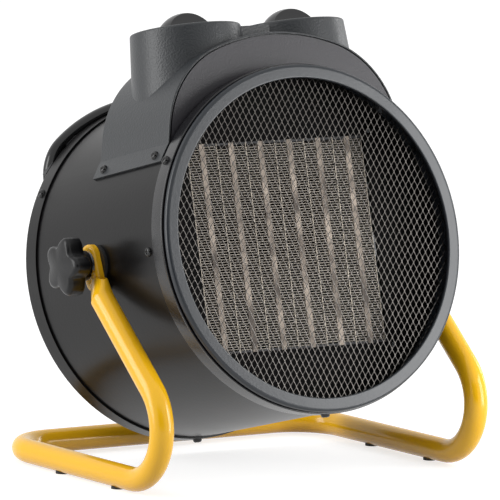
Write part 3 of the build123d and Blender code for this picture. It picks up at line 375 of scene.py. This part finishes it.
# %% Front band
HOOP_BORE, HOOP, BEAD = 114.3, 115.5, 116.1
HOOP_FRONT, HOOP_REAR, BEAD_WIDTH = 4.8, 18.2, 0.9
hoop_corners = [(HOOP_FRONT, HOOP_BORE), (HOOP_FRONT, BEAD), (HOOP_FRONT + BEAD_WIDTH, BEAD)]
hoop_corners += [(HOOP_FRONT + 2 * BEAD_WIDTH, HOOP), (HOOP_REAR, HOOP), (HOOP_REAR, HOOP_BORE)]
points, faces = spun(rounded(hoop_corners, [0.2, 0.44, 0.44, 0.5, 0.3, 0.3]))
make_piece("beaded_hoop", points, faces, "heater", hoop_enamel, ["front_band"])

# %% [markdown]
# ## Screw heads
# Pan heads are pressed from wire, so they are low domes with a cross pressed into the top. A sphere would
# catch a round highlight, and these catch a small one off centre with the dark cross beside it. A square
# grid is bent onto a disc, lifted by the dome's formula and pushed down where the cross is. The underside
# uses the same grid, pulled down near its middle to make the shank.

# %% Screws
HEAD, HEAD_RISE, SHANK, SHANK_LENGTH = 3.1, 2.2, 1.7, 6.0
CROSS_HALF, CROSS_REACH, CROSS_FADE, CROSS_DEPTH = 0.16, 0.5, 30, 1.3
side_steps = np.linspace(-1, 1, 23)
a, b = np.meshgrid(side_steps, side_steps, indexing="ij")
disc_x, disc_y = a * np.sqrt(1 - b**2 / 2), b * np.sqrt(1 - a**2 / 2)


def head_surface():
    """Rise = H * sqrt(1 - r^4) minus a cross whose arms fade out at half the radius; shank below."""
    r = np.minimum(np.hypot(disc_x, disc_y), 1.0)
    arm_x = np.exp(-((disc_x / CROSS_HALF) ** 4)) / (1 + np.exp((np.abs(disc_y) - CROSS_REACH) * CROSS_FADE))
    arm_y = np.exp(-((disc_y / CROSS_HALF) ** 4)) / (1 + np.exp((np.abs(disc_x) - CROSS_REACH) * CROSS_FADE))
    top = HEAD_RISE * np.sqrt(np.clip(1 - r**4, 0, 1)) - CROSS_DEPTH * np.maximum(arm_x, arm_y)
    under = np.where(r < SHANK / HEAD, -SHANK_LENGTH, 0.0)
    return top, under


def screws(name, node, places, finish, body="heater"):
    """One head for each place, which is a seat point, a direction along and a direction outward."""
    top, under = head_surface()
    seats, along, outward = (np.array(part, float) for part in zip(*places))
    across_it = np.cross(outward, along)
    flat = (disc_x * HEAD)[..., None] * along[:, None, None]
    flat = flat + (disc_y * HEAD)[..., None] * across_it[:, None, None]
    both = [seats[:, None, None] + flat + level[..., None] * outward[:, None, None] for level in (top, under)]
    n = len(side_steps)
    quads = grid_faces(n, n)
    count = len(places) * 2
    faces = (quads[None] + (np.arange(count) * n * n)[:, None, None]).reshape(-1, 4)
    shells = np.stack(both, 1).reshape(-1, 3)
    return make_piece(name, shells, faces, body, finish, [node], merge_mm=0.02, crisp=50.0)


def on_drum(angle_degrees, depth, radius):
    """Seat, direction along the drum and outward direction for a screw that points at the axis."""
    a = math.radians(angle_degrees)
    outward = math.sin(a) * RIGHT + math.cos(a) * UP
    return FACE + depth * BACK + radius * outward, BACK, outward


def behind(x, height, depth):
    """Seat and directions for a screw that is driven from behind."""
    return FACE + x * RIGHT + height * UP + depth * BACK, RIGHT, BACK


BAND_ANGLES, FRONT_BAND_DEPTH, REAR_BAND_DEPTH = (-60.0, 60.0, 180.0), 13.8, 171.6
FLANGE_ANGLES, FLANGE_DEPTHS, FLANGE_SEAT = (-57.0, 57.0), (30.6, 94.6), 115.9
SIDE_ANGLES, SIDE_DEPTH, CASING_SEAT = (-90.0, 90.0), 25.0, 114.2
GUARD_CIRCLE, GUARD_DEPTH = 103.5, 160.3
guard_offset = GUARD_CIRCLE * math.sqrt(0.5)
screw_places = {
    ("front_hoop_screws", "front_band_screws"): [on_drum(t, FRONT_BAND_DEPTH, HOOP) for t in BAND_ANGLES],
    ("rear_hoop_screws", "rear_band_screws"): [on_drum(t, REAR_BAND_DEPTH, HOOP) for t in BAND_ANGLES],
    ("flange_screws", "housing_screws"): [
        on_drum(t, d, FLANGE_SEAT) for t in FLANGE_ANGLES for d in FLANGE_DEPTHS
    ],
    ("side_screws", "baffle_screws"): [on_drum(t, SIDE_DEPTH, CASING_SEAT) for t in SIDE_ANGLES],
    ("guard_screws", "grille_screws"): [
        behind(x * guard_offset, z * guard_offset, GUARD_DEPTH) for x in (-1, 1) for z in (-1, 1)
    ],
}
for (name, node), places in screw_places.items():
    screws(name, node, places, gloss_black_enamel)

# %% [markdown]
# ## Star knobs
# The clamps are tightened with moulded star knobs. Each is a soft five-armed body on a round hub, and its
# face swells into a low dome. A hard-edged star would show flat facets, so the outline is a smooth wave
# round a circle, and it shrinks towards the middle while the wave fades. That leaves the ridges of the
# arms running into the dome.

# %% Star knobs
STAR_INNER, STAR_FACE, STAR_OUTER, HUB, STUD_BORE = 124.2, 130.7, 144.3, 10.0, 4.1
ARMS, STAR_TURNS = 5, 160
TIP, WAIST, FIRST_TIP = 19.8, 14.0, math.radians(80.0)
dome_steps = np.linspace(0, 0.8, 9)
turn_steps = np.radians(np.linspace(0, 90, 8))[1:]
dome_rows = [(STAR_OUTER - 1.6 * k**2, k, 0.0) for k in dome_steps]
edge_rows = [(STAR_OUTER - 1.0 - 3.4 * (1 - math.cos(t)), 0.8 + 0.2 * math.sin(t), 0.0) for t in turn_steps]
side_rows = [(STAR_FACE + 4.0, 1.0, 0.0), (STAR_FACE + 0.6, 0.985, 0.0), (STAR_FACE, 0.95, 0.0)]
hub_rows = [(STAR_FACE, 0.0, HUB), (STAR_INNER + 0.4, 0.0, HUB), (STAR_INNER, 0.0, HUB - 0.4)]
bore_rows = [(STAR_INNER, 0.0, STUD_BORE), (STAR_OUTER - 4.0, 0.0, STUD_BORE), (STAR_OUTER - 4.0, 0.0, 0.0)]
star_rows = np.array(dome_rows + edge_rows + side_rows + hub_rows + bore_rows)


def star_knob(name, side, body, node):
    """Radius = k * (mean + (wave - mean) * k) + b, wave = waist + (tip - waist) * (0.5 + 0.5 cos 5a)^0.9."""
    angle = np.linspace(0, 2 * math.pi, STAR_TURNS, endpoint=False)[None, :]
    wave = WAIST + (TIP - WAIST) * (0.5 + 0.5 * np.cos(ARMS * (angle - FIRST_TIP))) ** 0.9
    out, k, b = (star_rows[:, i][:, None] for i in range(3))
    mean = (TIP + WAIST) / 2 - 0.6
    radius = k * (mean + (wave - mean) * np.minimum(1.0, k)) + b
    y = PIVOT[1] + side * radius * np.cos(angle)
    z = PIVOT[2] + radius * np.sin(angle)
    points = np.stack([side * out + 0 * angle, y, z], axis=-1)
    faces = grid_faces(len(star_rows), STAR_TURNS, False, True)
    return make_piece(name, points, faces, body, star_nylon, [node], 0.01, crisp=40.0)


star_knob("left_star_knob", -1, "left_clamp", "left_clamp_knob")
star_knob("right_star_knob", 1, "right_clamp", "right_clamp_knob")

# %% [markdown]
# ## The expanded mesh
# Expanded metal is one sheet, slit in staggered rows and pulled until the slits open as diamonds. What
# is left are zigzag strands, half a millimetre wide, that touch their neighbours at the bonds and twist
# a little between them. A pattern of holes cut in a plate would look flat, so each strand is modelled:
# its centre is a triangle wave, and a small section is carried along it and turned with the slope.

# %% Expanded mesh
SHORT_WAY, LONG_WAY, STRAND, GAUGE = 4.68, 7.93, 0.55, 0.28
MESH_TURN, FALLING_TWIST, RISING_TWIST = (math.radians(a) for a in (9.0, 20.0, -32.0))
mesh_reach, mesh_depth = 110.6, 6.6
wave = np.array([1.0, 1.0, 0.0, -1.0, -1.0, 0.0])
slope = np.array([0.0, 0.0, -1.0, 0.0, 0.0, 1.0])
phase = np.array([-0.06, 0.06, 0.25, 0.44, 0.56, 0.75])
periods = np.arange(-15, 16)
along = ((periods[:, None] + phase[None, :]) * LONG_WAY).ravel()
wave, slope = np.tile(wave, len(periods)), np.tile(slope, len(periods))
strands = np.arange(-48, 48)
flip = np.where(strands % 2 == 0, 1.0, -1.0)
swing = SHORT_WAY / 4 - STRAND / 5
centre = (strands[:, None] + 0.5) * SHORT_WAY / 2 + flip[:, None] * swing * wave[None, :]
falling = flip[:, None] * slope[None, :] < 0
twist = np.where(falling, FALLING_TWIST, RISING_TWIST) * np.abs(slope)[None, :]
corner_w = np.array([-1, 1, 1, -1]) * STRAND / 2
corner_t = np.array([-1, -1, 1, 1]) * GAUGE / 2
aside = centre[..., None] + corner_w * np.cos(twist)[..., None] - corner_t * np.sin(twist)[..., None]
sunk = mesh_depth + corner_w * np.sin(twist)[..., None] + corner_t * np.cos(twist)[..., None]
rise = np.broadcast_to(along[None, :, None], aside.shape)
across = aside * math.cos(MESH_TURN) + rise * math.sin(MESH_TURN)
up = rise * math.cos(MESH_TURN) - aside * math.sin(MESH_TURN)
inside = np.hypot(across, up).max(axis=2) < mesh_reach
points = in_room(across, up, sunk)
rows, columns = inside.shape
number = np.arange(rows * columns * 4).reshape(rows, columns, 4)
both = inside[:, :-1] & inside[:, 1:]
here, there = number[:, :-1][both], number[:, 1:][both]
faces = np.stack([here, there, np.roll(there, -1, 1), np.roll(here, -1, 1)], axis=-1).reshape(-1, 4)
first = inside & ~np.pad(inside[:, :-1], ((0, 0), (1, 0)))
last = inside & ~np.pad(inside[:, 1:], ((0, 0), (0, 1)))
faces = np.concatenate([faces, number[first], number[last][:, ::-1]])
used, packed = np.unique(faces, return_inverse=True)
points = points.reshape(-1, 3)[used]
make_piece(
    "expanded_mesh", points, packed.reshape(faces.shape), "heater", dark_zinc, ["front_mesh"]
)

# %% [markdown]
# ## The folded fins
# Each heating bar lies between two strips of thin aluminium, folded to and fro every 1.7 mm, and the air
# passes between the folds. The strip is a path that runs right, up, left, up, with a thickness and the
# core's depth. The strips of the real core don't start level, so each one here has its own start.

# %% Folded fins
FOLD, FIN_GAUGE = 1.7, 0.4
ELEMENTS, ELEMENT_PITCH, BAR, DIVIDER, AIR = 6, 23.0, 4.0, 0.6, 0.15
core_front, core_depth, core_half = 35.6, 13.0, 68.0
fin_width = (ELEMENT_PITCH - BAR - DIVIDER) / 2 - 2 * AIR
chance = np.random.default_rng(7)
all_points, all_faces, count = [], [], 0
for element in range(ELEMENTS):
    for side in (-1, 1):
        middle = (element - (ELEMENTS - 1) / 2) * ELEMENT_PITCH + side * (BAR / 2 + AIR + fin_width / 2)
        low = -core_half + chance.uniform(0.2, 1.4)
        folds = int((core_half - chance.uniform(0.2, 1.4) - low) / FOLD) + 1
        level = low + np.arange(folds) * FOLD
        left = np.where(np.arange(folds) % 2 == 0, -1.0, 1.0)
        x = middle + np.stack([left, -left], 1).ravel() * (fin_width - FIN_GAUGE) / 2
        z = np.repeat(level, 2)
        step = np.diff(np.stack([x, z], 1), axis=0)
        step /= np.linalg.norm(step, axis=1)[:, None]
        normal = np.stack([-step[:, 1], step[:, 0]], 1)
        offset = np.vstack([normal[:1], normal[:-1] + normal[1:], normal[-1:]]) * FIN_GAUGE / 2
        ring_x = np.stack([x - offset[:, 0], x + offset[:, 0], x + offset[:, 0], x - offset[:, 0]], 1)
        ring_z = np.stack([z - offset[:, 1], z + offset[:, 1], z + offset[:, 1], z - offset[:, 1]], 1)
        ring_d = core_front + np.array([0, 0, core_depth, core_depth]) + 0 * ring_x
        all_points.append(in_room(ring_x, ring_z, ring_d).reshape(-1, 3))
        quads = grid_faces(len(x), 4, False, True)
        ends = np.array([[0, 1, 2, 3], np.arange(4) + 4 * (len(x) - 1)])
        all_faces.append(np.concatenate([quads, ends]) + count)
        count += 4 * len(x)
make_piece(
    "folded_fins",
    np.concatenate(all_points),
    np.concatenate(all_faces),
    "heater",
    fin_aluminium,
    ["ptc_fins"],
    crisp=30.0,
)

# %% [markdown]
# ## Paint and plastic on the solids
# The pieces whose form is right as built only need their finish. The table pairs each one with what the
# real piece is made of.

# %% Finishes on the solids
finish_of = {
    "drum_casing": satin_black_enamel,
    "front_bezel": graphite_enamel,
    "front_band": satin_black_enamel,
    "mesh_spacer": matt_black_enamel,
    "front_mesh": dark_zinc,
    "core_baffle": matt_black_enamel,
    "ptc_bars": element_film,
    "ptc_fins": fin_aluminium,
    "ptc_dividers": divider_aluminium,
    "ptc_end_caps": cap_resin,
    "core_screws": zinc_plate,
    "thermal_cutout": switch_resin,
    "fan_shroud": galvanised_steel,
    "fan_impeller": fan_sheet,
    "motor_shaft": zinc_plate,
    "fan_motor": galvanised_steel,
    "motor_bracket": galvanised_steel,
    "rear_cover": satin_black_enamel,
    "rear_grille": satin_black_enamel,
    "carry_handle": gloss_black_enamel,
    "handle_lugs": gland_nylon,
    "cord_gland": gland_nylon,
    "control_housing": housing_nylon,
    "front_fascia": fascia_nylon,
    "selector_knob": knob_nylon,
    "thermostat_knob": knob_nylon,
    "selector_spindle": zinc_plate,
    "thermostat_spindle": zinc_plate,
    "rotary_switch": switch_resin,
    "room_thermostat": zinc_plate,
    "terminal_block": switch_resin,
    "left_pivot_boss": gland_nylon,
    "right_pivot_boss": gland_nylon,
    "left_clamp_knob": star_nylon,
    "right_clamp_knob": star_nylon,
    "stand_tube": yellow_powder_coat,
    "stand_pads": pad_rubber,
}
for node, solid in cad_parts.items():
    if node.endswith("screws") and node != "core_screws":
        finish = gloss_black_enamel
    else:
        finish = finish_of.get(node, zinc_plate)
    solid.data.materials.clear()
    solid.data.materials.append(finish)
print("solids dressed:", len(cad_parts))

# %% [markdown]
# ## Floor and light
# The picture was taken on white. Two soft boxes stand left and right of the object, and a narrow one at
# the far right draws the rims. The floor is grey paper that keeps the shadow, lifted to white for the
# same rays that see the white world: those from the camera, mirrored ones and those through glass. The
# cups are darkest where they face the camera, because a dark card stands behind it. The card is hidden
# from the camera's own rays, so that it never shows in the background of a picture from behind.

# %% Floor, world and lamps
PAPER_GLOW = 0.72
floor_mesh = bpy.data.meshes.new("studio_floor")
floor_mesh.from_pydata([(-6, -6, 0), (6, -6, 0), (6, 6, 0), (-6, 6, 0)], [], [(0, 1, 2, 3)])
floor = bpy.data.objects.new("studio_floor", floor_mesh)
bpy.context.scene.collection.objects.link(floor)
floor_finish, tree, shader, place = start_finish(
    "white_studio_paper", Base_Color=linear("#BBBBBB"), Roughness=0.9, Emission_Color=linear("#FFFFFF")
)
path = add(tree, "ShaderNodeLightPath")


def shown(tree, path):
    """1 for the camera's, mirrored and refracted rays, 0 for the soft light between surfaces."""
    direct = add(
        tree,
        "ShaderNodeMath",
        {"operation": "MAXIMUM"},
        links={0: (path, "Is Camera Ray"), 1: (path, "Is Transmission Ray")},
    )
    return add(
        tree, "ShaderNodeMath", {"operation": "MAXIMUM"}, links={0: (direct, 0), 1: (path, "Is Glossy Ray")}
    )


glow = add(
    tree, "ShaderNodeMath", {"operation": "MULTIPLY"}, {1: PAPER_GLOW}, {0: (shown(tree, path), 0)}
)
tree.links.new(glow.outputs[0], shader.inputs["Emission Strength"])
floor_mesh.materials.append(floor_finish)

SOFT_FILL = 0.7
world = bpy.data.worlds.new("white_studio")
bpy.context.scene.world = world
world.use_nodes = True
tree = world.node_tree
paper = tree.nodes["Background"]
path = add(tree, "ShaderNodeLightPath")
strength = add(tree, "ShaderNodeMath", {"operation": "MAXIMUM"}, {1: SOFT_FILL}, {0: (shown(tree, path), 0)})
paper.inputs["Color"].default_value = (1.0, 1.0, 1.0, 1.0)
tree.links.new(strength.outputs[0], paper.inputs["Strength"])


def soft_box(name, place, aim, size, power):
    """A rectangular area lamp at a place in metres, turned so that its face looks at the aim."""
    lamp = bpy.data.lights.new(name, "AREA")
    lamp.shape = "RECTANGLE"
    lamp.size, lamp.size_y = size
    lamp.energy = power
    holder = bpy.data.objects.new(name, lamp)
    back = np.array(place, float) - np.array(aim, float)
    back /= np.linalg.norm(back)
    side = np.cross([0.0, 0.0, 1.0], back)
    side /= np.linalg.norm(side)
    turn = Matrix(np.column_stack([side, np.cross(back, side), back]).tolist())
    holder.matrix_world = Matrix.Translation(list(place)) @ turn.to_4x4()
    bpy.context.scene.collection.objects.link(holder)
    return holder


def around(azimuth_degrees, elevation_degrees, distance):
    """A place at this bearing from the object: 0 is in front of the mesh, positive to its right."""
    a, e = math.radians(azimuth_degrees), math.radians(elevation_degrees)
    return distance * math.cos(e) * math.sin(a), -distance * math.cos(e) * math.cos(a), distance * math.sin(e)


card_away, card_half, card_top = 4.7, 2.2, 2.8
card_out = np.array([math.sin(azimuth), -math.cos(azimuth), 0.0])
card_side = np.array([math.cos(azimuth), math.sin(azimuth), 0.0])
card_corners = [
    card_away * card_out + side * card_half * card_side + np.array([0.0, 0.0, level])
    for side, level in ((-1, 0.02), (1, 0.02), (1, card_top), (-1, card_top))
]
card_mesh = bpy.data.meshes.new("dark_card")
card_mesh.from_pydata([corner.tolist() for corner in card_corners], [], [(0, 1, 2, 3)])
card = bpy.data.objects.new("dark_card", card_mesh)
bpy.context.scene.collection.objects.link(card)
card_mesh.materials.append(start_finish("black_velvet", Base_Color=linear("#060606"), Roughness=1.0)[0])
card.visible_camera = False

middle = (0.0, 0.0, 0.15)
lamps = {
    "left_soft_box": ((-108, 22, 2.0), (0.9, 1.8), 24.0),
    "right_soft_box": ((38, 14, 0.7), (0.28, 0.6), 3.6),
    "right_rim_box": ((95, 15, 1.8), (0.3, 1.2), 6.0),
}
for name, (bearing, size, power) in lamps.items():
    soft_box(name, around(*bearing), middle, size, power)
